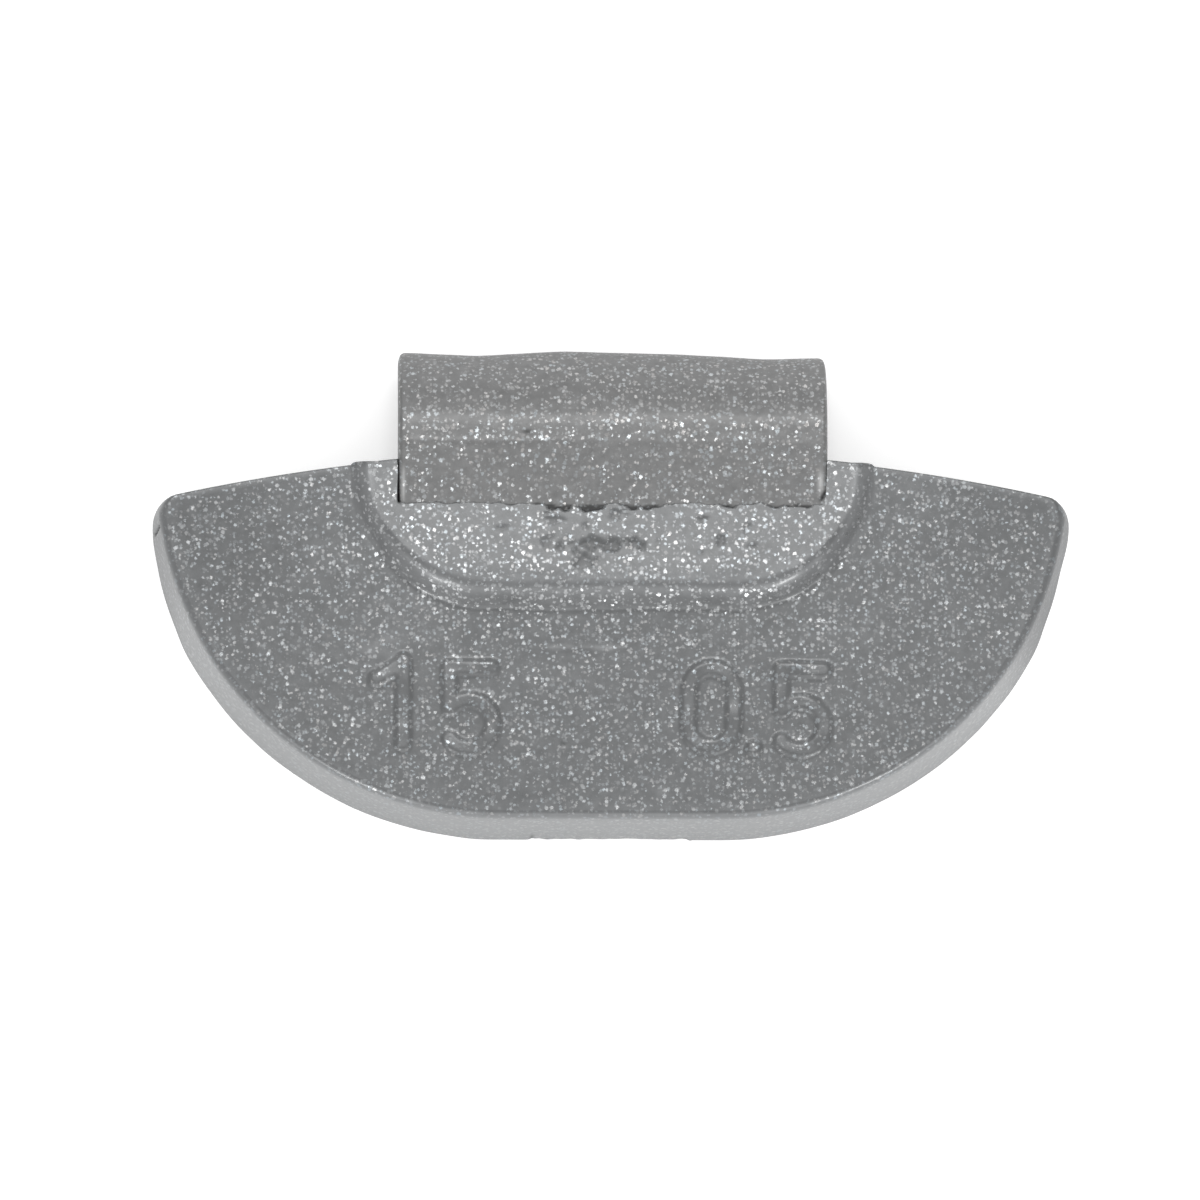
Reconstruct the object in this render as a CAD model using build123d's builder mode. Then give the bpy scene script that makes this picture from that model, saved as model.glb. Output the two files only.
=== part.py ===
from build123d import *
import os
from math import acos, atan, cos, degrees, radians, sin, sqrt, tan

# A clip-on wheel balance weight: a die-cast zinc body with a spring-steel clip held in a pad at its top.
# It lies on its flat back. X runs across the weight, Y towards the tyre, and Z out of the front face.

# Cast body, seen from the front
face_width = 40.3          # front face, across its top corners before they are rounded
body_height = 17.1         # bottom edge to the crown of the top edge
body_thickness = 4.0       # flat back to front face
bottom_flat = 9.6          # straight stretch of the bottom edge
crown_radius = 91.0        # curve of the top edge, which lies along the rim
side_straight = 1.6        # height of the straight end of each side, below the corner
draft = 12                 # lean of the side walls, for release from the die, in degrees
corner_radius = 1.0        # top corners
front_edge_radius = 0.25   # edge between the front face and the walls
top_land = 0.6             # flat of the top edge, from the front face back to the shoulder
shoulder_radius = 6.0      # back of the top edge, which seats in the curl of the rim flange

# Raised pad that grips the foot of the clip
pad_width = 22.6           # across its foot
pad_length = 7.1           # crown of the body down to the lower edge of the pad
pad_corner_radius = 5.8    # lower corners
pad_height = 0.9           # above the front face, at the lower edge
pad_slope = 4.2            # fall of the pad's face towards the clip, in degrees
pad_draft = 46             # lean of the pad's wall, in degrees
pad_edge_radius = 0.2      # edge round the pad's face

# Clip, bent from one strip
clip_width = 19.0
clip_thickness = 1.0
clip_rise = 4.6            # crown of the body up to the top of the clip
clip_lean = 3              # lean of the leg towards the front, in degrees
foot_depth = 2.5           # crown of the body down to the line where the leg leaves the pad
leg_depth = 6.5            # crown of the body down to the buried end of the leg
leg_corner_radius = 4.4    # corners of the buried end
roll_radius = 7.0          # front of the gentle bend above the pad
roll_turn = 24             # turn of the strip in that bend, in degrees
arch_radius = 1.4          # inside of the arch, which closes over the lip of the flange
arch_turn = 109            # turn of the strip in the arch, in degrees
tip_length = 0.5           # straight end of the hook
tip_corner_radius = 0.45   # corners of the hook's end
strip_edge_radius = 0.2    # outer edges of the strip, rolled over when it is cut
slot_clearance = 0.12      # between each edge of the strip and the slot in the pad

# The origin is under the middle of the whole weight, on the plane of its back
bottom_y = -(body_height + clip_rise) / 2
crown_y = bottom_y + body_height
top_y = crown_y + clip_rise
rim_axis = Axis((0, crown_y - crown_radius, 0), (0, 0, 1))

# Front face: each side is an arc that leaves the bottom edge and passes into a straight end below the corner
face_bottom_y = bottom_y + body_thickness * tan(radians(draft))
corner_y = crown_y - crown_radius + sqrt(crown_radius**2 - (face_width / 2) ** 2)
side_rise = corner_y - face_bottom_y
side_run = (face_width - bottom_flat) / 2
half_turn = (sqrt(side_run**2 + side_straight * (2 * side_rise - side_straight)) - side_run) / side_straight
side_sweep = 2 * degrees(atan(half_turn))
side_radius = (side_rise - side_straight) / (1 - cos(radians(side_sweep)))

# Shoulder: an arc that leaves the flat back and ends where the land of the top edge begins
shoulder_rise = min(body_thickness - top_land, shoulder_radius)
shoulder_sweep = degrees(acos(1 - shoulder_rise / shoulder_radius))
shoulder_y = crown_y - shoulder_radius * sin(radians(shoulder_sweep))
ring_inside_y = bottom_y - body_thickness

# Face of the pad, which falls from its lower edge towards the clip and cuts a block of twice its height
pad_foot_y = crown_y - pad_length
pad_block = 2 * pad_height
pad_top_z = body_thickness + pad_block
pad_face = Plane(
    origin=(0, pad_foot_y, body_thickness + pad_height),
    z_dir=(0, sin(radians(pad_slope)), cos(radians(pad_slope))),
)

# Front surface of the leg, which the face of the pad meets at the foot line
foot_y = crown_y - foot_depth
foot_z = body_thickness + pad_height - (foot_y - pad_foot_y) * tan(radians(pad_slope))
arch_outside = arch_radius + clip_thickness
roll_lean = radians(roll_turn - clip_lean)
arch_y = top_y - arch_outside * (1 - sin(roll_lean))
bend_y = arch_y - roll_radius * (sin(roll_lean) + sin(radians(clip_lean)))
bend_z = foot_z + (bend_y - foot_y) * tan(radians(clip_lean))
leg_end_y = crown_y - leg_depth
leg_end_z = foot_z + (leg_end_y - foot_y) * tan(radians(clip_lean))

# The strip seen from its end: a straight leg, a gentle bend, the arch over the lip, and a short hook
with BuildSketch(Plane.YZ) as clip_section:
    with BuildLine():
        leg = Line((leg_end_y, leg_end_z), (bend_y, bend_z))
        roll = JernArc(start=leg @ 1, tangent=leg % 1, radius=roll_radius, arc_size=-roll_turn)
        arch = JernArc(start=roll @ 1, tangent=roll % 1, radius=arch_outside, arc_size=-arch_turn)
        tip = Line(arch @ 1, arch @ 1 + (arch % 1) * tip_length)
        offset(amount=clip_thickness, side=Side.RIGHT)
    make_face()
leg_axis = Axis((0, 0, 0), (0, (leg % 1).X, (leg % 1).Y))
tip_axis = Axis((0, 0, 0), (0, (tip % 1).X, (tip % 1).Y))


def bent_strip(clearance):
    """Strip of the clip, wider by a clearance at each edge, with the corners of its buried end rounded."""
    with BuildPart() as strip:
        extrude(clip_section.sketch, amount=clip_width / 2 + clearance, both=True)
        leg_end = strip.faces().filter_by(leg_axis)[0]
        fillet(leg_end.edges().sort_by(SortBy.LENGTH)[:2], leg_corner_radius + clearance)
    return strip.part


with BuildPart() as cast_body:
    # Block that widens from the front face to the back
    with BuildSketch(Plane.XY.offset(body_thickness)) as face:
        with BuildLine():
            flat = Line((0, face_bottom_y), (bottom_flat / 2, face_bottom_y))
            side = JernArc(start=flat @ 1, tangent=(1, 0), radius=side_radius, arc_size=side_sweep)
            end = Line(side @ 1, (face_width / 2, corner_y))
            crown = RadiusArc(end @ 1, (0, crown_y), -crown_radius)
            Line(crown @ 1, flat @ 0)
        make_face()
        mirror(about=Plane.YZ)
        corners = face.vertices().sort_by(Axis.X)
        fillet([corners[0], corners[-1]], corner_radius)
    extrude(amount=-body_thickness, taper=-draft)
    fillet(cast_body.faces().sort_by(Axis.Z)[-1].edges(), front_edge_radius)

    # Pad, cut off by its sloping face
    with BuildSketch(Plane.XY.offset(body_thickness)) as pad_outline:
        with Locations((0, (pad_foot_y + top_y) / 2)):
            Rectangle(pad_width, top_y - pad_foot_y)
        fillet(pad_outline.vertices().group_by(Axis.Y)[0], pad_corner_radius)
    extrude(amount=pad_block, taper=pad_draft)
    split(bisect_by=pad_face, keep=Keep.BOTTOM)
    pad_edges = cast_body.faces().sort_by(Axis.Z)[-1].edges()
    fillet(pad_edges.sort_by(Axis.Y)[:-1], pad_edge_radius)

    # Top edge, turned about the wheel's axis, with a shoulder that sits in the curl of the flange
    with BuildSketch(Plane.YZ):
        with BuildLine():
            back = Line((ring_inside_y, 0), (shoulder_y, 0))
            shoulder = JernArc(
                start=back @ 1, tangent=(1, 0), radius=shoulder_radius, arc_size=shoulder_sweep
            )
            Polyline(shoulder @ 1, (crown_y, pad_top_z), (ring_inside_y, pad_top_z), back @ 0)
        make_face()
    revolve(axis=rim_axis, mode=Mode.INTERSECT)

    # Slot that the leg of the clip fills
    add(bent_strip(slot_clearance), mode=Mode.SUBTRACT)

with BuildPart() as spring_clip:
    add(bent_strip(0))
    tip_end = spring_clip.faces().filter_by(tip_axis)[0]
    fillet(tip_end.edges().sort_by(SortBy.LENGTH)[:2], tip_corner_radius)
    outer_arch = spring_clip.faces().filter_by(GeomType.CYLINDER).sort_by(SortBy.AREA)[-1]
    fillet(outer_arch.edges().filter_by(GeomType.CIRCLE), strip_edge_radius)

cast_body.part.label = "cast_body"
spring_clip.part.label = "spring_clip"

os.makedirs("parts", exist_ok=True)
export_step(cast_body.part, "parts/cast_body.step")
export_step(spring_clip.part, "parts/spring_clip.step")
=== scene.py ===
import bpy
import numpy as np
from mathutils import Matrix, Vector


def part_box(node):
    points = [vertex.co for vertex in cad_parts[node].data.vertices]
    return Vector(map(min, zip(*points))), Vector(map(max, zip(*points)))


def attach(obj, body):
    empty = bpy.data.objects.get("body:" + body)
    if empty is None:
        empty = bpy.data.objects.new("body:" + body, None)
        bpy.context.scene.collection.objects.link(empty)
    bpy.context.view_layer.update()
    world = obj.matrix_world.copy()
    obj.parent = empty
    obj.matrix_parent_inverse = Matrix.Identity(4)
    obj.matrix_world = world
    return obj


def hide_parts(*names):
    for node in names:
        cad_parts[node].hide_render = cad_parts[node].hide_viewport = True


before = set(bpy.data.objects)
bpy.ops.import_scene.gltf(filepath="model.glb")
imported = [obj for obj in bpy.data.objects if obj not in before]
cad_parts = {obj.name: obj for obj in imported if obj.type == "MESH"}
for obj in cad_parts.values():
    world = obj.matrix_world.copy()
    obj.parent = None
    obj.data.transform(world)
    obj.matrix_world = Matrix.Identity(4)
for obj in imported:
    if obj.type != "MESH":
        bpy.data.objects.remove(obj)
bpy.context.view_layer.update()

# Cast body. A flat die-cast zinc weight whose top edge follows the curve of the rim. The pad on its front is
# cast round the foot of the clip, and its sides lean so that the casting leaves the die.
# It is left as cast, with raised figures for its mass, and then coated all over.
MILLIMETRE = 0.001
body_low, body_high = (np.array(corner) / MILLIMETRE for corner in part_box("cast_body"))
bottom_y, crown_y = body_low[1], body_high[1]
face_z = 4.0                 # front face above the back
face_width = 40.3            # across the top corners of the face before they are rounded
bottom_flat = 9.6            # straight stretch of the bottom edge
crown_radius = 91.0          # curve of the top edge, about the wheel's axis
side_sweep = np.radians(78.97)  # turn of each side before its straight end
wall_draft = np.radians(12)  # lean of the side walls
corner_radius = 1.0          # top corners
edge_radius = 0.4            # edge between the face and the walls
top_edge_radius = 0.1        # the same edge along the top
wall_fill = 0.07             # how far the low walls stand out at the face, against an even lean
land = 0.6                   # flat of the top edge
shoulder_radius = 6.0        # back of the top edge
pad_half_width = 11.3
pad_foot_y = crown_y - 7.1   # lower edge of the pad
pad_corner = 5.8             # lower corners of the pad
pad_height = 0.9             # at its lower edge
pad_slope = np.radians(4.2)  # fall of its face towards the clip
pad_fillet = 0.1             # softness of its foot
pad_ease = 2.0               # from its lower edge to where its face levels off
pad_round = 0.03             # how fast it levels off, for each square of the way
pad_level_x = 10.5           # where the pad's top edge leaves the curve of the crown and runs on level
pad_end_x = 11.5             # where it steps back to that curve
pad_end_soft = 0.08          # half the width of that step
foot_y = crown_y - 2.5       # line where the clip leaves the pad
foot_z = face_z + pad_height - (foot_y - pad_foot_y) * np.tan(pad_slope)
clip_half_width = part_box("spring_clip")[1][0] / MILLIMETRE
clip_lean = np.radians(3)    # lean of the clip's leg towards the front
clip_thickness = 1.0


def ease(low, high, value):
    """Smooth step: 0 below low, 1 above high, and a cubic between them."""
    share = np.clip((value - low) / (high - low), 0, 1)
    return share * share * (3 - 2 * share)


def soft_most(a, b, reach):
    """The higher of two heights, with their crossing rounded over where they differ by less than reach."""
    share = np.clip(1 - np.abs(a - b) / reach, 0, 1)
    return np.maximum(a, b) + share * share * reach / 4


def relief(x, y, pitch, seed):
    """Random relief from -1 to 1: numbers at the crossings of a square lattice, joined by cubic steps."""
    side = 97
    lattice = np.random.default_rng(seed).uniform(-1, 1, (side, side))
    across = x / pitch + side // 2
    along = y / pitch + side // 2
    column = np.floor(across).astype(int)
    row = np.floor(along).astype(int)
    right = ease(0, 1, across - column)
    up = ease(0, 1, along - row)
    column, next_column = column % side, (column + 1) % side
    row, next_row = row % side, (row + 1) % side
    near = lattice[column, row] * (1 - right) + lattice[next_column, row] * right
    far = lattice[column, next_row] * (1 - right) + lattice[next_column, next_row] * right
    return near * (1 - up) + far * up


def graded(start, end, count, places, reach, gain):
    """Steps from start to end that close up near some places: equal shares of the area under a density
    that is 1, plus a bell curve at each place."""
    fine = np.linspace(start, end, 6001)
    density = 1 + gain * sum(np.exp(-(((fine - place) / reach) ** 2)) for place in places)
    area = np.concatenate([[0], np.cumsum((density[1:] + density[:-1]) / 2)])
    return np.interp(np.linspace(0, area[-1], count), area, fine)


# Outline of the face, drawn in by the width that the rounded edge takes up
wall_turn = np.pi / 2 - wall_draft
inset = edge_radius * np.tan(wall_turn / 2)
axis_y = crown_y - crown_radius
sharp_bottom_y = bottom_y + face_z * np.tan(wall_draft)
sharp_corner_y = axis_y + np.sqrt(crown_radius**2 - face_width**2 / 4)
end_run = (sharp_corner_y - sharp_bottom_y) / np.tan(side_sweep)
side_radius = ((face_width - bottom_flat) / 2 - end_run) / np.tan(side_sweep / 2)
side_centre = np.array([bottom_flat / 2, sharp_bottom_y + side_radius])
# The corner's arc touches the straight end and the crown, so its centre is a corner radius from both
end_normal = np.array([np.sin(side_sweep), -np.cos(side_sweep)])
end_reach = end_normal @ np.array([face_width / 2, sharp_corner_y])
try_y = np.linspace(sharp_corner_y - 3, sharp_corner_y, 4001)
try_x = (end_reach - corner_radius - end_normal[1] * try_y) / end_normal[0]
best = np.argmin(np.abs(np.hypot(try_x, try_y - axis_y) - crown_radius + corner_radius))
corner_centre = np.array([try_x[best], try_y[best]])
corner_arc = corner_radius - inset
corner_turn = np.radians(35)  # where the side passes over to the top edge, on the corner's arc
corner_point = corner_centre + corner_arc * np.array([np.cos(corner_turn), np.sin(corner_turn)])
low_arc = side_radius - inset + wall_fill
low_turn = np.radians(35)     # where the bottom edge passes over to the side, on the side's arc
low_point = side_centre + low_arc * np.array([np.sin(low_turn), -np.cos(low_turn)])


def bottom_edge(x):
    """Height of the bottom edge: a straight stretch, then an arc that rises to each side."""
    beyond = np.clip(np.abs(x) - side_centre[0], 0, low_arc)
    return side_centre[1] - np.sqrt(low_arc**2 - beyond**2)


def pad_rise(x):
    """How far the ends of the pad stand above the crown's arc: level from the clip out, then a small step."""
    rise = np.clip(x**2 - pad_level_x**2, 0, None) / (2 * crown_radius)
    return rise * ease(pad_end_x + pad_end_soft, pad_end_x - pad_end_soft, np.abs(x))


def top_edge(x):
    """Height of the top edge: the crown's arc, which each corner's arc cuts off."""
    crown = axis_y + np.sqrt((crown_radius - inset) ** 2 - x**2) + pad_rise(x)
    beyond = np.clip(np.abs(x) - corner_centre[0], 0, corner_arc)
    corner = corner_centre[1] + np.sqrt(corner_arc**2 - beyond**2)
    meets = corner_centre[0] * (crown_radius - inset) / (crown_radius - corner_radius)
    return np.where(np.abs(x) > meets, corner, crown)


def side_edge(y):
    """Half width at a height: the side's arc, its straight end, then the corner's arc."""
    reach = low_arc - wall_fill * ease(-3.5, 0.5, y)
    arc = side_centre[0] + np.sqrt(reach**2 - np.clip(side_centre[1] - y, 0, reach) ** 2)
    straight = (end_reach - inset - end_normal[1] * y) / end_normal[0]
    above = np.clip(y - corner_centre[1], -corner_arc, corner_arc)
    corner = corner_centre[0] + np.sqrt(corner_arc**2 - above**2)
    arc_end = side_centre[1] - (low_arc - wall_fill) * np.cos(side_sweep)
    corner_start = corner_centre[1] + corner_arc * end_normal[1]
    return np.where(y < arc_end, arc, np.where(y < corner_start, straight, corner))


# Figures, drawn as strokes in a box one unit high: the mass in grams at the left and in ounces at the right
figure_height = 3.56     # between the middles of the strokes
stroke = 0.33            # half width of a stroke
figure_relief = 0.115    # raised above the face
figure_soft = 0.10       # slope at the sides of a stroke


def bar(x, y, start, end):
    """Distance from a straight stroke between two points."""
    run_x, run_y = end[0] - start[0], end[1] - start[1]
    along = np.clip(((x - start[0]) * run_x + (y - start[1]) * run_y) / (run_x**2 + run_y**2), 0, 1)
    return np.hypot(x - start[0] - along * run_x, y - start[1] - along * run_y)


def bow(x, y, centre, radius, start, sweep):
    """Distance from a round stroke: an arc that turns clockwise from its start, angles in degrees."""
    turned = (start - np.degrees(np.arctan2(y - centre[1], x - centre[0]))) % 360
    over = np.where(turned > (360 + sweep) / 2, 0, np.minimum(turned, sweep))
    angle = np.radians(start - over)
    return np.hypot(x - centre[0] - radius * np.cos(angle), y - centre[1] - radius * np.sin(angle))


def one(x, y):
    """A stem with a flag at its top."""
    return np.minimum(bar(x, y, (0.36, 0), (0.36, 1.03)), bar(x, y, (0.36, 1), (0.03, 0.8)))


def five(x, y):
    """A bar along the top, a short stem at the left, and a bowl below."""
    top = np.minimum(bar(x, y, (0.03, 1), (0.55, 1)), bar(x, y, (0.03, 1), (0.045, 0.5)))
    return np.minimum(top, bow(x, y, (0.28, 0.3), 0.3, 140, 280))


def nought(x, y):
    """A ring with straight sides."""
    return np.abs(bar(x, y, (0.27, 0.29), (0.27, 0.71)) - 0.28)


def point(x, y):
    """A dot on the base line."""
    return np.hypot(x, y)


# Each figure with the place of its lower left corner and its turn in degrees
figures = [(one, -10.52, -6.82, 0), (five, -7.37, -7.0, -1), (nought, 3.35, -6.95, -1.5),
           (point, 6.22, -7.0, 0), (five, 7.25, -7.05, -1.5)]


def figure_distance(x, y):
    """Distance from the middle of the nearest stroke of all the figures."""
    distance = np.full(x.shape, 9.0)
    for draw, left, base, turn in figures:
        cosine = np.cos(np.radians(turn))
        sine = np.sin(np.radians(turn))
        across = ((x - left) * cosine + (y - base) * sine) / figure_height
        up = ((y - base) * cosine - (x - left) * sine) / figure_height
        distance = np.minimum(distance, draw(across, up) * figure_height)
    return distance


def ragged_foot(x):
    """Height of the line where the pad's metal ends against the clip, uneven where it didn't run up fully."""
    return foot_y + 0.08 + 0.06 * relief(x, 0 * x, 0.55, 11) + 0.05 * relief(x, 0 * x, 0.21, 12)


# Open gaps along that line: left end, right end and drop below it
foot_gaps = [(-2.9, -0.3, 0.38), (0.3, 2.2, 0.32), (4.75, 5.4, 0.36), (6.7, 8.8, 0.24), (-4.8, -3.1, 0.15)]


def gaps_at_foot(x, y):
    """Depth from 0 to 1 of the open gaps: short hollows with ragged lower edges."""
    depth = np.zeros(x.shape)
    for left, right, drop in foot_gaps:
        inside = ease(left - 0.2, left + 0.25, x) * (1 - ease(right - 0.25, right + 0.2, x))
        lower = foot_y + 0.13 - drop * (0.8 + 0.5 * relief(x, 0 * x, 0.3, 13)) * inside
        depth = np.maximum(depth, inside * ease(lower - 0.05, lower + 0.06, y))
    return depth


# Shallow flaws, nearly all in the pad, where the metal ran cold: place, half length, half width, and depth
# from 0 to 1
flaws = [(-0.49, 1.94, 1.45, 0.25, 0.9), (-1.31, 1.2, 0.4, 0.5, 0.7), (0.22, 3.3, 0.4, 0.22, 0.6),
         (-2.65, 2.97, 0.3, 0.27, 0.5), (-2.89, 2.07, 0.32, 0.25, 0.5), (-1.26, 2.8, 0.1, 0.35, 0.5),
         (4.0, 3.1, 0.2, 0.12, 0.5), (4.78, 2.12, 0.14, 0.26, 0.6), (6.15, 1.87, 0.2, 0.1, 0.5),
         (5.91, 2.71, 0.12, 0.22, 0.5), (3.86, 1.56, 0.1, 0.18, 0.4), (-4.86, 2.64, 0.24, 0.12, 0.4),
         (-2.2, -6.82, 0.1, 0.1, 0.9)]


def cold_flaws(x, y):
    """Depth from 0 to 1 of the flaws: ellipses whose edges and floors a random relief breaks up."""
    grain = 0.6 * relief(x, y, 0.33, 21) + 0.6 * relief(x, y, 0.14, 22)
    depth = np.zeros(x.shape)
    for middle_x, middle_y, half_length, half_width, deep in flaws:
        reach = np.hypot((x - middle_x) / half_length, (y - middle_y) / half_width)
        depth = np.maximum(depth, deep * ease(1.35, 0.45, reach + grain))
    return depth


def pad_within(x, y):
    """Distance inwards from the foot of the pad: a box with rounded lower corners, open at the top."""
    corner_x = np.abs(x) - pad_half_width + pad_corner
    corner_y = pad_foot_y + pad_corner - y
    outside = np.hypot(np.maximum(corner_x, 0), np.maximum(corner_y, 0)) - pad_corner
    return -outside - np.minimum(np.maximum(corner_x, corner_y), 0)


# Thin places in the coating of the face: place, half length, half width, and share from 0 to 1
streaked_spots = [(-10, -2.2, 2.2, 1.7, 0.13), (10.9, -1.9, 1.5, 1.1, 0.08)]
smears = [(-0.35, -2.63, 0.5, 0.13, 0.3), (-2.5, -2.6, 0.35, 0.13, 0.2), (2.2, -8.95, 0.25, 0.25, 0.25)]
# Shares of painted light on the pad: edge of its face, lower wall, what is added at the lower corners, and
# wall at its sides
pad_edge_light = 0.17
pad_wall_light = 0.12
pad_corner_light = 0.16
pad_side_light = 0.3
pad_edge_within = 1.12       # from the foot of the pad to the edge of its face


def spots(x, y, places):
    """Sum of soft round spots: a bell curve about each place, by its half length, half width and share."""
    return sum(share * np.exp(-(((x - middle_x) / half_length) ** 2) - ((y - middle_y) / half_width) ** 2)
               for middle_x, middle_y, half_length, half_width, share in places)


def pale_and_lit_patches(x, y):
    """Share from 0 to 1 of the places that are paler: spots on the face where the coating is thin, some of
    them streaked, and painted light on the wall of the pad and along the lower edge of its face."""
    streaks = ease(0.1, 0.8, relief(0.35 * x + 0.9 * y, 0.35 * y - 0.2 * x, 0.3, 23))
    up = y - pad_foot_y
    within = pad_within(x, y)
    low = ease(3.5, 1.5, up)
    # Painted light along the lower edge of the pad's face, on its lower wall, more at its lower corners, and
    # on the wall at its sides
    edge = pad_edge_light * np.exp(-(((within - pad_edge_within) / 0.35) ** 2)) * low
    wall = pad_wall_light + pad_corner_light * ease(0.4, 2.0, up)
    wall = wall * ease(0, 0.3, within) * ease(1.0, 0.6, within) * low
    sides = pad_side_light * ease(-0.45, 0, within) * ease(0.85, 0.5, within) * (1 - low)
    return spots(x, y, streaked_spots) * (0.5 + streaks) + spots(x, y, smears) + edge + wall + sides


def glints(x, y):
    """Share from 0 to 1 of the pad's wall, where the flakes lie less flat, and where they are painted
    brighter as a painted glint.
    """
    within = pad_within(x, y)
    return ease(-0.3, 0, within) * ease(1.15, 0.8, within)


# Details of the front, and how much painted shade darkens its hollows, from 0 to 1
wall_out = 0.15              # how far the pad's wall stands out at its sides
wall_wave = 0.05             # unevenness of the pad's lower wall
ridge_y = -2.62              # faint raised line across the face, below the pad
ridge_relief = 0.012
gap_depth = 0.25
flaw_depth = 0.045
slot_soft = 0.02             # softness of the slot's edge
gap_shade = 0.8
flaw_shade = 0.3
slot_shade = 0.25


def front(x, y):
    """Height of the front and the share of painted shade on it. The pad is the lower of its leaning wall and
    its face, which levels off towards the lower edge. Figures, gaps, flaws and a slight unevenness are added,
    and the slot is taken down to where it lies behind the clip. Painted shade darkens the gaps, the flaws and
    the slot."""
    up = y - pad_foot_y
    top = pad_height - up * np.tan(pad_slope) - pad_round * np.clip(pad_ease - up, 0, pad_ease) ** 2
    waved = wall_wave * relief(x, y, 0.9, 3) * ease(4, 2, up)
    wall = (pad_within(x, y) + wall_out * ease(2.5, 4.5, up) + waved) * (1.0 - 0.08 * top)
    # The higher the pad stands, the rounder is the edge of its face
    rounded = 0.05 + 0.42 * top**2
    pad = soft_most(-soft_most(-wall, -top, rounded), 0 * x, pad_fillet)
    strokes = 1 - ease(stroke - figure_soft, stroke + figure_soft, figure_distance(x, y))
    strokes = figure_relief * strokes * (0.85 + 0.3 * relief(x, y, 0.8, 4))
    ridge = ridge_relief * np.exp(-(((y - ridge_y) / 0.1) ** 2))
    ridge = ridge * ease(-3.6, -2.9, x) * (1 - ease(0.4, 1.1, x))
    uneven = 0.014 * relief(x, y, 2.6, 1) + 0.006 * relief(x, y, 1.1, 2)
    gap = gaps_at_foot(x, y)
    flaw = cold_flaws(x, y)
    height = face_z + pad + strokes + ridge + uneven - gap_depth * gap - flaw_depth * flaw
    behind = foot_z + (y - foot_y) * np.tan(clip_lean) - clip_thickness
    # The slit beside the clip is open at the left and closed at the right
    slit = clip_half_width - np.where(x < 0, 0.03, 0.2) + 0.025 * relief(y, np.sign(x), 0.4, 5)
    in_slot = ease(-slot_soft, slot_soft, slit - np.abs(x)) * ease(-slot_soft, slot_soft, y - ragged_foot(x))
    # Painted shade: the face is a little darker towards its upper corners
    corner_shade = 0.1 * ease(-12, -17, x) * ease(-4, 1, y) + 0.06 * ease(13, 17, x) * ease(-1, 3, y)
    shaded = np.maximum(np.maximum(gap_shade * gap, flaw_shade * flaw), np.maximum(slot_shade * in_slot, corner_shade))
    return height + (behind - height) * in_slot, shaded


def back(x, y):
    """Height of the back: flat, then an arc about the wheel's axis that rises to the land of the top edge."""
    rise = face_z - land
    start = crown_radius - np.sqrt(shoulder_radius**2 - (shoulder_radius - rise) ** 2)
    beyond = np.clip(np.hypot(x, y - axis_y) - start, 0, shoulder_radius)
    return shoulder_radius - np.sqrt(shoulder_radius**2 - beyond**2)


# Front: columns spread to the sides of each row, and rows bend from the bottom edge to the top edge. They lie
# closer at the edges of the clip and at its foot line.
columns = graded(-1, 1, count=380, places=[-0.477, 0.477], reach=0.012, gain=5)
rows = graded(0, 1, count=170, places=[0.858], reach=0.026, gain=2.4)
across, up = np.meshgrid(columns, rows)
bottom_curve = bottom_edge(across * low_point[0])
top_curve = top_edge(across * corner_point[0])
front_x = across * side_edge(low_point[1] + (corner_point[1] - low_point[1]) * up)
front_y = bottom_curve + (top_curve - bottom_curve) * up
front_z, shaded = front(front_x, front_y)

# Rim of the front, run round once against the clock
numbers = np.arange(across.size).reshape(across.shape)
rim = np.concatenate([numbers[0, :-1], numbers[:-1, -1], numbers[-1, :0:-1], numbers[:0:-1, 0]])
rim_x, rim_y, rim_z = front_x.ravel()[rim], front_y.ravel()[rim], front_z.ravel()[rim]
# The step at each end of the pad is left out of the directions, so that the rings don't cross there
level_y = rim_y - pad_rise(rim_x) * (rim_y > 0)
run_x = np.roll(rim_x, -1) - np.roll(rim_x, 1)
run_y = np.roll(level_y, -1) - np.roll(level_y, 1)
out_x = run_y / np.hypot(run_x, run_y)
out_y = -run_x / np.hypot(run_x, run_y)


def wall_ring(out, drop):
    """Points of a ring that lies out from the rim and below it, kept inside the curve of the top edge."""
    x = rim_x + out_x * out
    y = rim_y + out_y * out
    kept = np.minimum(1, (crown_radius + pad_rise(x) * ease(2.2, 0.8, drop)) / np.hypot(x, y - axis_y))
    return np.stack([x * kept, axis_y + (y - axis_y) * kept, rim_z - drop], 1)


# Rings over the rounded edge, down the wall, and across the back to a point in its middle
rings = []
ring_shades = []
ring_lights = []
along_top = ease(0.4, 0.9, out_y)
side_rounding = 0.95 * edge_radius
rounding = side_rounding + (top_edge_radius - side_rounding) * along_top
flat_out = inset * (1 - rounding / edge_radius)
# Painted light makes the walls paler, less so along the top. Painted shade darkens them a little, more high
# on the sides, where they are also duller.
wall_light = 0.45 - 0.2 * along_top
right_shade_and_dull = 0.4 * ease(16, 18, rim_x) * ease(-5, 0, rim_y)
left_shade_and_dull = 0.22 * ease(-17, -19, rim_x) * ease(-3, 2, rim_y)
wall_shade_and_dull = 0.06 + right_shade_and_dull + left_shade_and_dull
for turn in np.linspace(0, wall_turn, 8):
    rings.append(wall_ring(flat_out + rounding * np.sin(turn), rounding * (1 - np.cos(turn))))
    ring_shades.append(wall_shade_and_dull * turn / wall_turn)
    ring_lights.append(wall_light * (0.14 + 0.86 * ease(0, 0.95 * wall_turn, turn)))
edge_out = flat_out + rounding * np.cos(wall_draft)
edge_drop = rounding * (1 - np.sin(wall_draft))
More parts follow.
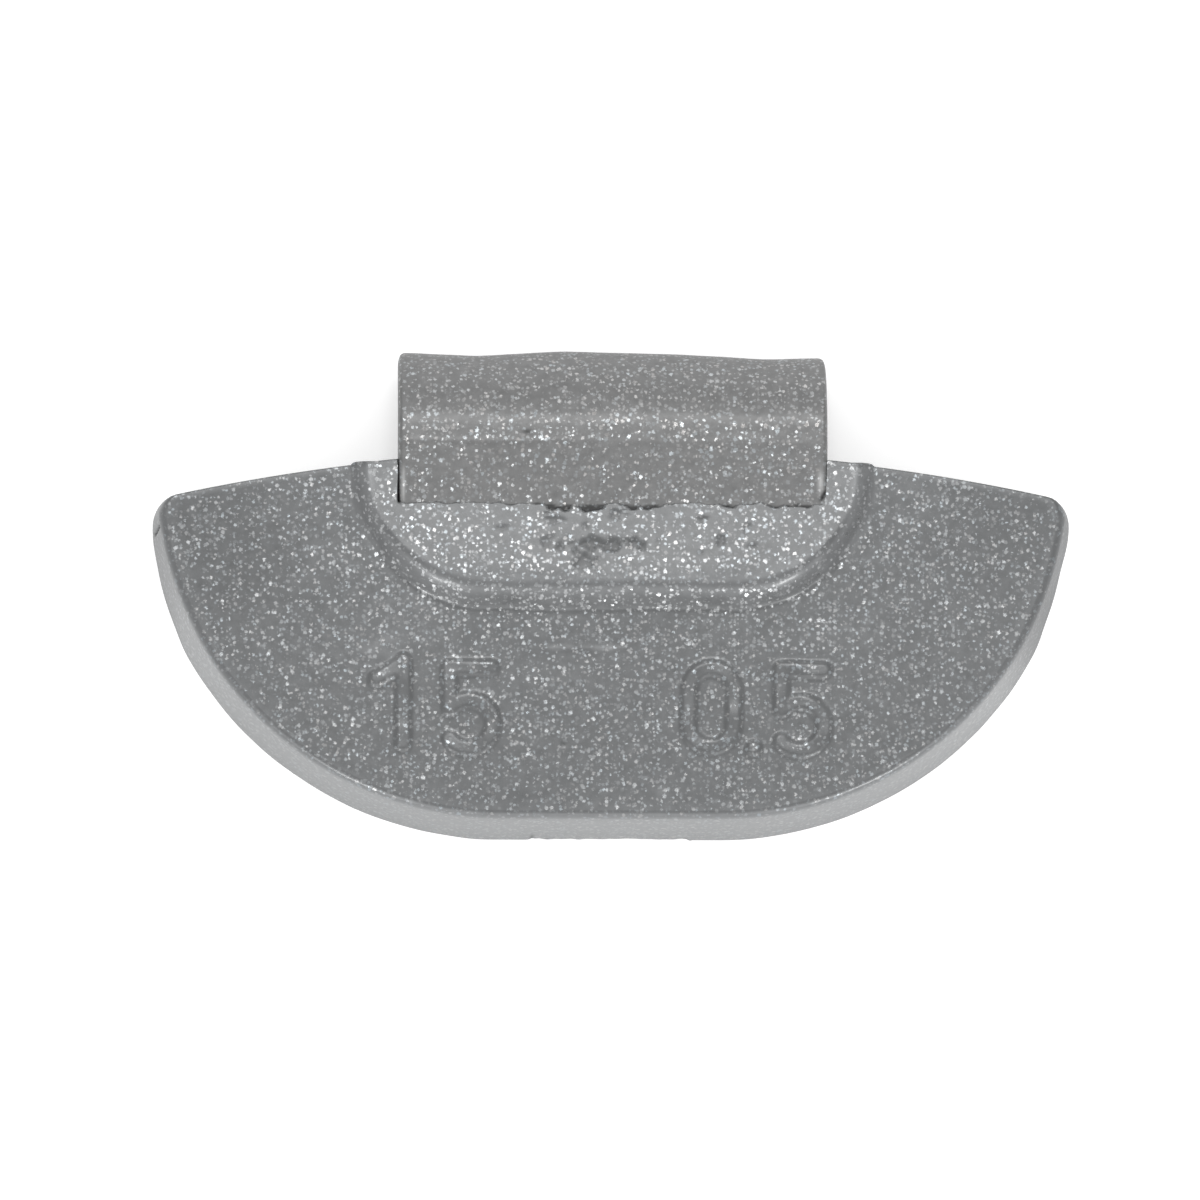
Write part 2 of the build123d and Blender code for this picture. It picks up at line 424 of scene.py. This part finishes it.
# The wall ends on the back, whose height depends on the place, so its depth is found in rounds from a guess
depth = rim_z - 0.1
for _ in range(12):
    foot = wall_ring(edge_out + (depth - edge_drop) * np.tan(wall_draft), depth)
    depth = rim_z - back(foot[:, 0], foot[:, 1])
back_edge = 0.08             # small round between the wall and the back
gate_half = 3.5              # where the gate was broken off, at each side of the middle of the bottom edge
gate_depth = 0.06
ragged_depth = 0.035         # unevenness of the back's outline
nib_height = 0.03            # a burr at the right end of the gate
crack_depth = 0.07
wall_depth = depth - back_edge - edge_drop
at_bottom = rim_y < sharp_bottom_y + 1
gate = at_bottom * (1 - ease(gate_half - 0.1, gate_half + 0.06, np.abs(rim_x)))
nib = at_bottom * np.exp(-(((rim_x - gate_half - 0.02) / 0.1) ** 2))
torn_end = at_bottom * np.exp(-(((rim_x + gate_half) / 0.1) ** 2))
ragged = 0.5 + 0.5 * relief(rim_x, rim_y, 1.2, 32)
# The ends of the sides lean less than the rest, and so do the low walls
end_fill = np.where(rim_x < 0, 0.13, 0.19) * np.exp(-(((rim_y - 0.4) / 1.9) ** 4))
less_lean = (out_y < 0.4) * (end_fill + wall_fill * ease(0.5, -3.5, rim_y))
for share in [0.12, 0.26, 0.4, 0.55, 0.7, 0.82, 0.92, 1.0]:
    drop = edge_drop + share * wall_depth
    torn = gate * (0.75 + 0.35 * relief(rim_x, drop, 0.35, 31)) + 0.9 * torn_end * share**3
    in_by = share**2 * (gate_depth * torn + ragged_depth * ragged - nib_height * nib) + share * less_lean
    # A cold run in the casting left a short curved crack high on the left wall, which painted shade darkens
    crack_y = 2.95 - 0.5 * share + 0.18 * share**2
    crack = (rim_x < -18) * np.exp(-(((rim_y - crack_y) / 0.08) ** 2)) * (share < 0.8)
    out = edge_out + (drop - edge_drop) * np.tan(wall_draft) - in_by - crack_depth * crack
    rings.append(wall_ring(out, drop))
    # Painted shade darkens the walls, the crack and the torn end of the gate
    ring_shades.append(np.maximum(np.maximum(crack, wall_shade_and_dull), 0.7 * torn_end * ease(0.6, 1, share)))
    ring_lights.append(wall_light)
middle = np.array([0.0, -2.5])  # where the rings of the back close
last = rings[-1][:, :2] - middle
reach = np.hypot(last[:, 0], last[:, 1])
for share in [1, 0.93, 0.84, 0.73, 0.6, 0.43, 0.22]:
    spot = middle + last * (share * (1 - back_edge / reach))[:, None]
    rings.append(np.column_stack([spot, back(spot[:, 0], spot[:, 1])]))
    ring_shades.append(0 * rim_x)
    ring_lights.append(0 * rim_x)

front_points = np.stack([front_x, front_y, front_z], 2).reshape(-1, 3)
body_points = np.concatenate([front_points, *rings, [[*middle, 0.0]]])
body_shades = np.concatenate([shaded.ravel(), *ring_shades, [0.0]])
# Painted light: the face is a little lighter along its sides and its bottom edge
rim_light = 0.07 * np.maximum(ease(0.97, 1, np.abs(across)), ease(0.04, 0, up))
body_pale_and_light = np.concatenate([(pale_and_lit_patches(front_x, front_y) + rim_light).ravel(), *ring_lights, [0.0]])
body_glints = np.zeros(len(body_points))
body_glints[:across.size] = glints(front_x, front_y).ravel()
ring_numbers = across.size + np.arange(len(rings) * len(rim)).reshape(len(rings), len(rim))
ring_numbers = np.concatenate([rim[None], ring_numbers])
ring_numbers = np.concatenate([ring_numbers, ring_numbers[:, :1]], 1)


def quads(grid):
    """Corners of the cells of a grid of point numbers, each turned from its column to its row."""
    return np.stack([grid[:-1, :-1], grid[:-1, 1:], grid[1:, 1:], grid[1:, :-1]], -1).reshape(-1, 4)


def piece(name, points, faces, values):
    """A smooth mesh object from points in millimetres, with some named values at each point as attributes."""
    mesh = bpy.data.meshes.new(name)
    mesh.from_pydata((points * MILLIMETRE).tolist(), [], faces)
    mesh.polygons.foreach_set("use_smooth", np.ones(len(mesh.polygons), bool))
    for value_name, value in values.items():
        layer = mesh.attributes.new(value_name, "FLOAT", "POINT")
        layer.data.foreach_set("value", value.astype(np.float32))
    made = bpy.data.objects.new(name, mesh)
    bpy.context.scene.collection.objects.link(made)
    return made


hub = np.full(len(rim), len(body_points) - 1)
fan = np.stack([ring_numbers[-1, 1:], ring_numbers[-1, :-1], hub], 1)
body_faces = quads(numbers).tolist() + quads(ring_numbers)[:, ::-1].tolist() + fan.tolist()
body_values = {"painted_shade": body_shades, "pale_and_light": body_pale_and_light, "lean_and_painted_glint": body_glints}
body = piece("balance_weight_body", body_points, body_faces, body_values)


class Shade:
    """A value in a material: arithmetic on it adds Math nodes, and node() adds any other node."""

    def __init__(self, tree, socket=None):
        self.tree = tree
        self.socket = socket

    def node(self, kind, settings, sockets):
        """Adds a node, sets it up, then feeds its sockets by name or place. Returns its outputs by name."""
        made = self.tree.nodes.new(kind)
        for name, value in settings.items():
            setattr(made, name, value)
        named = {socket.name: socket for socket in reversed(made.inputs) if socket.enabled}
        for key, value in sockets.items():
            socket = made.inputs[key] if isinstance(key, int) else named[key]
            if isinstance(value, Shade):
                self.tree.links.new(value.socket, socket)
            else:
                socket.default_value = value
        return {socket.name: Shade(self.tree, socket) for socket in made.outputs if socket.enabled}

    def maths(self, operation, first, second):
        """A Math node on two values."""
        return self.node("ShaderNodeMath", {"operation": operation}, {0: first, 1: second})["Value"]

    def __add__(self, other):
        return self.maths("ADD", self, other)

    __radd__ = __add__

    def __sub__(self, other):
        return self.maths("SUBTRACT", self, other)

    def __rsub__(self, other):
        return self.maths("SUBTRACT", other, self)

    def __mul__(self, other):
        return self.maths("MULTIPLY", self, other)

    __rmul__ = __mul__

    def most(self, other):
        """The higher of two values."""
        return self.maths("MAXIMUM", self, other)

    def step(self, low, high):
        """Smooth step from 0 at low to 1 at high, which may be the lower of the two."""
        limits = {"Value": self, "From Min": low, "From Max": high}
        return self.node("ShaderNodeMapRange", {"interpolation_type": "SMOOTHSTEP"}, limits)["Result"]

    def vector(self, operation, first, second):
        """A Vector Math node on two vectors, or on a vector and a scale."""
        other = "Scale" if operation == "SCALE" else 1
        settings = {"operation": operation}
        return self.node("ShaderNodeVectorMath", settings, {0: first, other: second})["Vector"]

    def blend(self, share, first, second):
        """A mix of two colours."""
        sockets = {"Factor": share, "A": first, "B": second}
        return self.node("ShaderNodeMix", {"data_type": "RGBA"}, sockets)["Result"]


def flake_coat(name, ground, flake, spread, film):
    """Silver coating: a grey ground that holds flat metal flakes, under a clear film. Flakes are discs about
    the centres of random cells. Each takes its brightness and its lean from its cell, so they glint apart:
    spread is how far they lean, and film is the weight of the clear film."""
    middle_grey = (0.5, 0.5, 0.5)
    # Near black of the painted shade
    shade_colour = (0.02, 0.02, 0.02, 1)
    # Fine flakes, then coarse ones: pitch in metres, share of the cells that hold one, size and brightness
    layers = [(0.00017, 0.6, 0.52, 0.85), (0.00026, 0.42, 0.45, 1.0)]
    ripple_scale = 13000.0   # fine waves in the coating, which bend the outlines of the flakes
    ripple_shift = 0.00015
    ripple_lean = 0.10
    cloud_scale = 2600.0     # patches of darker and lighter ground
    cloud_swing = 0.24
    glint_lean = 0.7         # how much more the flakes lean where they glint
    painted_glint_gain = 1.5         # painted glint: how much brighter the flakes are painted there
    pale_and_light_gain = 2.64         # how much lighter the ground is where the coating is thin, and where light is painted on
    material = bpy.data.materials.new(name)
    material.use_nodes = True
    material.node_tree.nodes.clear()
    coat = Shade(material.node_tree)
    place = coat.node("ShaderNodeTexCoord", {}, {})["Object"]
    facing = coat.node("ShaderNodeNewGeometry", {}, {})["Normal"]
    # The mesh carries painted shade, paler places partly from painted light, and painted glints, as
    # attributes
    painted_shade = coat.node("ShaderNodeAttribute", {"attribute_name": "painted_shade"}, {})["Fac"]
    pale_and_light = coat.node("ShaderNodeAttribute", {"attribute_name": "pale_and_light"}, {})["Fac"]
    lean_and_painted_glint = coat.node("ShaderNodeAttribute", {"attribute_name": "lean_and_painted_glint"}, {})["Fac"]
    waves = {"Vector": place, "Scale": ripple_scale, "Detail": 1.0}
    ripple = coat.node("ShaderNodeTexNoise", {}, waves)["Color"]
    ripple = coat.vector("SUBTRACT", ripple, middle_grey)
    bent_place = coat.vector("ADD", place, coat.vector("SCALE", ripple, ripple_shift))
    facing = coat.vector("ADD", facing, coat.vector("SCALE", ripple, ripple_lean))
    flakes = None
    for pitch, share, size, gain in layers:
        cells = coat.node("ShaderNodeTexVoronoi", {}, {"Vector": bent_place, "Scale": 1 / pitch})
        chances = coat.node("ShaderNodeSeparateColor", {}, {"Color": cells["Color"]})
        shown = chances["Red"].step(1 - share, 1.01 - share) * cells["Distance"].step(size, 0.5 * size)
        shown = shown * (chances["Green"] * 0.85 + 0.15) * gain
        lean = coat.vector("SUBTRACT", cells["Color"], middle_grey)
        lean = coat.vector("SCALE", lean, shown * (lean_and_painted_glint * glint_lean + spread))
        facing = coat.vector("ADD", facing, lean)
        flakes = shown if flakes is None else flakes.most(shown)
        tint = chances["Blue"]
    flakes = flakes * (1 - pale_and_light * 0.4)
    facing = coat.node("ShaderNodeVectorMath", {"operation": "NORMALIZE"}, {0: facing})["Vector"]
    patches = {"Vector": place, "Scale": cloud_scale, "Detail": 3.0}
    cloud = coat.node("ShaderNodeTexNoise", {}, patches)["Fac"]
    dark_ground = [(1 - cloud_swing) * part for part in ground] + [1]
    light_ground = [(1 + cloud_swing) * part for part in ground] + [1]
    pale_and_lit_ground = [pale_and_light_gain * part for part in ground] + [1]
    colour = coat.blend(cloud, dark_ground, light_ground)
    # Thin coating and painted light make the ground paler
    colour = coat.blend(pale_and_light, colour, pale_and_lit_ground)
    warm_flake = [flake[0] * 1.03, flake[1], flake[2] * 0.98, 1]
    cool_flake = [flake[0] * 0.92, flake[1], flake[2] * 1.05, 1]
    # Painted glint: the flakes are painted brighter where they glint more
    painted_glint_flake = [painted_glint_gain * part for part in flake] + [1]
    flake_colour = coat.blend(lean_and_painted_glint, coat.blend(tint, warm_flake, cool_flake), painted_glint_flake)
    colour = coat.blend(flakes, colour, flake_colour)
    # Painted shade darkens the colour towards near black; the same share makes the surface rougher and thins
    # the film
    colour = coat.blend(painted_shade * 0.8, colour, shade_colour)
    shader = coat.node("ShaderNodeBsdfPrincipled", {}, {
        "Base Color": colour,
        "Metallic": flakes * 0.2 + 0.8,
        "Roughness": painted_shade * 0.5 + (0.44 - flakes * 0.2),
        "Normal": facing,
        "Coat Weight": film - painted_shade * film,
        "Coat Roughness": 0.2,
        "Coat IOR": 1.5,
        "Specular Tint": (0.7, 0.7, 0.7, 1)})
    coat.node("ShaderNodeOutputMaterial", {}, {"Surface": shader["BSDF"]})
    return material


body_ground = (0.127, 0.1305, 0.133)
body_flake = (0.333, 0.340, 0.345)
body_coating = flake_coat("body_coating", body_ground, body_flake, spread=0.075, film=0.5)
body.data.materials.append(body_coating)
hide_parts("cast_body")
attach(body, "root")

# Spring clip. One strip of spring steel, cast into the pad at its foot and bent over at the top, so that its
# hook closes on the lip of the rim. Bending left two creases across it and a slight wave in its top edge.
clip_low, clip_high = (np.array(corner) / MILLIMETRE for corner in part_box("spring_clip"))
clip_top_y, leg_end_y = clip_high[1], clip_low[1]
leg_corner = 4.4             # corners of the buried end
tip_corner = 0.45            # corners of the hook's end
top_corner = 0.3             # ends of the top edge, where the strip was drawn in by the bending
strip_edge = 0.16            # rolled edges of the strip
bend_y = crown_y + 0.08      # start of the bend above the pad
arch_radius = 2.2            # bend over the lip
arch_lean = np.radians(55)   # where that bend starts
hook_radius = 1.9            # end of the bend
tip_lean = np.radians(128)
tip_length = 0.4             # straight end of the hook
sunk_foot = 0.018            # how far the cast metal stands over the strip at the foot line
crease_start = 0.16          # from the start of the bend to the lower crease
crease_relief = 0.009
top_drop = 0.012             # from the top of the solid to the highest place of the top edge

# Lean of the strip along its length, from the buried end to the tip, and the line that it gives. Two creases
# with a flat between them come first, then the strip rolls over more and more.
leg_length = (bend_y - leg_end_y) / np.cos(clip_lean)
bend_steps = np.array([0, 0.16, 0.3, 0.5, 0.75, 0.95, 1.12, 1.3, 1.55, 2.2, 2.75, 3.32, 3.97, 4.54])
bend_leans = np.radians([-3, -0.5, -0.5, -0.2, 0.4, 2.4, 5.5, 9.5, 14, 19, 25, 33, 44, 55])
arch_start = leg_length + bend_steps[-1]
arch_end = arch_start + arch_radius * (np.pi / 2 - arch_lean)
hook_end = arch_end + hook_radius * (tip_lean - np.pi / 2)
strip_length = hook_end + tip_length
fine = np.linspace(0, strip_length, 8001)
lean = np.interp(fine, [0, *(leg_length + bend_steps), arch_end, hook_end, strip_length],
                 [-clip_lean, *bend_leans, np.pi / 2, tip_lean, tip_lean])
step = fine[1] - fine[0]
fine_y = leg_end_y + np.concatenate([[0], np.cumsum(np.cos(lean[:-1]) * step)])
fine_z = np.concatenate([[0], np.cumsum(-np.sin(lean[:-1]) * step)])
fine_y += clip_top_y - fine_y.max()
on_leg = fine < leg_length
fine_z += foot_z - sunk_foot - np.interp(foot_y, fine_y[on_leg], fine_z[on_leg])
stations = graded(0, strip_length, count=190, places=[leg_length + 0.8], reach=1.0, gain=1.4)

# Section of the strip: across its front, round one edge, across its back and round the other edge
front_share = np.linspace(-1, 1, 201)
back_share = np.linspace(1, -1, 41)
turns = np.linspace(0, np.pi, 9)[1:-1]
flat_half = clip_half_width - strip_edge
section_x = np.concatenate([front_share * flat_half, flat_half + strip_edge * np.sin(turns),
                            back_share * flat_half, -flat_half - strip_edge * np.sin(turns)])
depth_share = np.concatenate([0 * front_share, (1 - np.cos(turns)) / 2,
                              0 * back_share + 1, (1 + np.cos(turns)) / 2])


def narrowing(length, radius):
    """How far the strip is drawn in at each edge, at a length from an end whose corners are rounded."""
    short = np.clip(radius - length, 0, radius)
    return radius - np.sqrt(radius**2 - short**2)


def top_wave(x):
    """How far the top edge lies below its highest place, from left to right."""
    places = np.array([-9.5, -9.0, -6.0, -2.3, 3.0, 6.8, 9.1, 9.5])
    drops = np.array([0.11, 0.09, 0.235, 0.0, 0.12, 0.34, 0.27, 0.28])
    knots = np.linspace(-9.5, 9.5, 400)
    window = np.hanning(41) / np.hanning(41).sum()
    smooth = np.convolve(np.pad(np.interp(knots, places, drops), 20, "edge"), window, "valid")
    return np.interp(x, knots, smooth)


station_y = np.interp(stations, fine, fine_y)
station_z = np.interp(stations, fine, fine_z)
station_lean = np.interp(stations, fine, lean)
drawn_in = narrowing(stations, leg_corner) + narrowing(strip_length - stations, tip_corner)
over_top = narrowing(clip_top_y - station_y, top_corner) * ease(arch_start, arch_end, stations)
drawn_in += np.maximum.accumulate(over_top)
strip_x = section_x[None] * (1 - drawn_in / clip_half_width)[:, None]
station_y, station_z, station_lean = station_y[:, None], station_z[:, None], station_lean[:, None]
uneven = 0.010 * relief(strip_x, station_y + 0 * strip_x, 1.7, 41)
uneven = uneven + 0.005 * relief(strip_x, 1.5 * station_y + 0 * strip_x, 0.5, 42)
# The lower crease is sharp at the left and dies away to the right
from_crease = stations[:, None] - leg_length - crease_start - 0.06 * relief(strip_x, 0 * strip_x, 1.3, 43)
crease = np.exp(-((from_crease / 0.12) ** 2))
uneven = uneven + crease_relief * crease * (1 - 0.8 * ease(-4, 2, strip_x))
sunk = depth_share[None] * clip_thickness - (1 - depth_share[None]) * uneven
above = ease(0, 1, np.sin(np.clip(station_lean, 0, np.pi)))
strip_y = station_y - np.sin(station_lean) * sunk - (top_wave(strip_x) + top_drop) * above
strip_z = station_z - np.cos(station_lean) * sunk
strip_points = np.stack([strip_x, strip_y, strip_z], 2).reshape(-1, 3)
strip_numbers = np.arange(strip_x.size).reshape(strip_x.shape)
strip_faces = quads(np.concatenate([strip_numbers, strip_numbers[:, :1]], 1)).tolist()
ends = [strip_numbers[0, ::-1].tolist(), strip_numbers[-1].tolist()]
# What lies below the foot line shows only through the gaps, and painted shade darkens it. Painted shade also
# marks one small pit on the crease, and a curved nick at the right edge, where the pad holds it.
foot_line = ragged_foot(strip_x)
foot_shade = 0.7
strip_shades = foot_shade * (1 - ease(foot_line - 0.16, foot_line - 0.06, strip_y))
pit = spots(strip_x, strip_y, [(-3.8, 6.95, 0.2, 0.1, 0.5)])
nick = np.exp(-(((strip_x - 9.36 + 0.45 * (4.3 - strip_y)) / 0.1) ** 2) - ((strip_y - 4.15) / 0.25) ** 4)
strip_shades = np.maximum(np.maximum(strip_shades, pit), nick * (depth_share < 0.6))
# Both edges are rubbed bright just above the pad
rubbed = 0.7 * np.exp(-(((strip_x + 9.27) / 0.08) ** 2) - ((strip_y - 4.6) / 0.75) ** 4)
rubbed += spots(strip_x, strip_y, [(9.17, 4.75, 0.11, 0.45, 0.9)])
# Above the crest more of the flakes glint: they lean more, and they are painted brighter as a painted glint
strip_glints = 0.3 * ease(7.7, 8.1, strip_y) * ease(10, 9.2, strip_y) * (depth_share < 0.5)
strip_values = {"painted_shade": strip_shades.ravel(), "pale_and_light": rubbed.ravel(), "lean_and_painted_glint": strip_glints.ravel()}
clip = piece("balance_weight_clip", strip_points, strip_faces + ends, strip_values)
clip_ground = (0.170, 0.171, 0.171)
clip_flake = (0.38, 0.38, 0.38)
clip_coating = flake_coat("clip_coating", clip_ground, clip_flake, spread=0.3, film=0.12)
clip.data.materials.append(clip_coating)
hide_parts("spring_clip")
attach(clip, "root")

# Table. A plain white surface under the weight, which takes the soft shadow round its outline. It glows a
# little to the camera, so that it looks white.
table_half = 3.0
table_z = -2e-5              # just below the back, so that the two don't share a plane
table_colour = (0.93, 0.93, 0.93, 1)
table_glow = 0.34
table_mesh = bpy.data.meshes.new("table")
table_points = [(x * table_half, y * table_half, table_z) for x, y in [(-1, -1), (1, -1), (1, 1), (-1, 1)]]
table_mesh.from_pydata(table_points, [], [(0, 1, 2, 3)])
table = bpy.data.objects.new("table", table_mesh)
bpy.context.scene.collection.objects.link(table)
white = bpy.data.materials.new("table_white")
white.use_nodes = True
white.node_tree.nodes.clear()
paint = Shade(white.node_tree)
rays = paint.node("ShaderNodeLightPath", {}, {})
seen = rays["Is Camera Ray"].most(rays["Is Glossy Ray"]).most(rays["Is Transmission Ray"])
matt = paint.node("ShaderNodeBsdfDiffuse", {}, {"Color": table_colour})["BSDF"]
glow = paint.node("ShaderNodeEmission", {}, {"Strength": seen * table_glow})["Emission"]
both = paint.node("ShaderNodeAddShader", {}, {0: matt, 1: glow})["Shader"]
paint.node("ShaderNodeOutputMaterial", {}, {"Surface": both})
table_mesh.materials.append(white)

# Light. An even white tent all round, one soft lamp above the top of the weight, a wide weak lamp at each of
# its long edges, and two small lamps low at the front, which glint on the edges that face them.
tent_strength = 0.88
world = bpy.data.worlds.new("tent")
bpy.context.scene.world = world
world.use_nodes = True
tent = world.node_tree.nodes["Background"]
tent.inputs["Color"].default_value = (1, 1, 1, 1)
tent.inputs["Strength"].default_value = tent_strength


def lamp(name, lean, turn, distance, size, radiance):
    """A square lamp that faces the weight. Its power is its radiance times its area times pi."""
    data = bpy.data.lights.new(name, "AREA")
    data.size = size
    data.energy = radiance * size**2 * np.pi
    made = bpy.data.objects.new(name, data)
    lean, turn = np.radians(lean), np.radians(turn)
    way = Vector((np.sin(lean) * np.cos(turn), np.sin(lean) * np.sin(turn), np.cos(lean)))
    made.location = way * distance
    made.rotation_euler = way.to_track_quat("Z", "Y").to_euler()
    bpy.context.scene.collection.objects.link(made)


lamp("soft_lamp", lean=19.4, turn=87, distance=0.5, size=0.15, radiance=5.5)
lamp("front_fill", lean=58, turn=-90, distance=0.4, size=0.4, radiance=0.5)
lamp("back_fill", lean=80, turn=90, distance=0.4, size=0.4, radiance=0.6)
lamp("right_lamp", lean=56, turn=-58, distance=0.3, size=0.035, radiance=36.0)
lamp("left_lamp", lean=56, turn=-120, distance=0.3, size=0.035, radiance=30.0)

# Camera. It looks down on the front face, a little from the bottom edge and from the left.
camera_data = bpy.data.cameras.new("camera")
camera = bpy.data.objects.new("camera", camera_data)
bpy.context.scene.collection.objects.link(camera)
view_distance = 0.4254
view_width = 0.05298         # what the frame takes in at the face
view_centre = Vector((-0.00056, -0.000455, 0.004))
view_turn = np.radians([5.19, -1.66, 0])
camera.rotation_euler = view_turn
camera.location = view_centre + camera.rotation_euler.to_matrix() @ Vector((0, 0, view_distance))
camera_data.sensor_width = 36
camera_data.lens = camera_data.sensor_width * view_distance / view_width
bpy.context.scene.camera = camera
bpy.context.scene.view_settings.view_transform = "Standard"
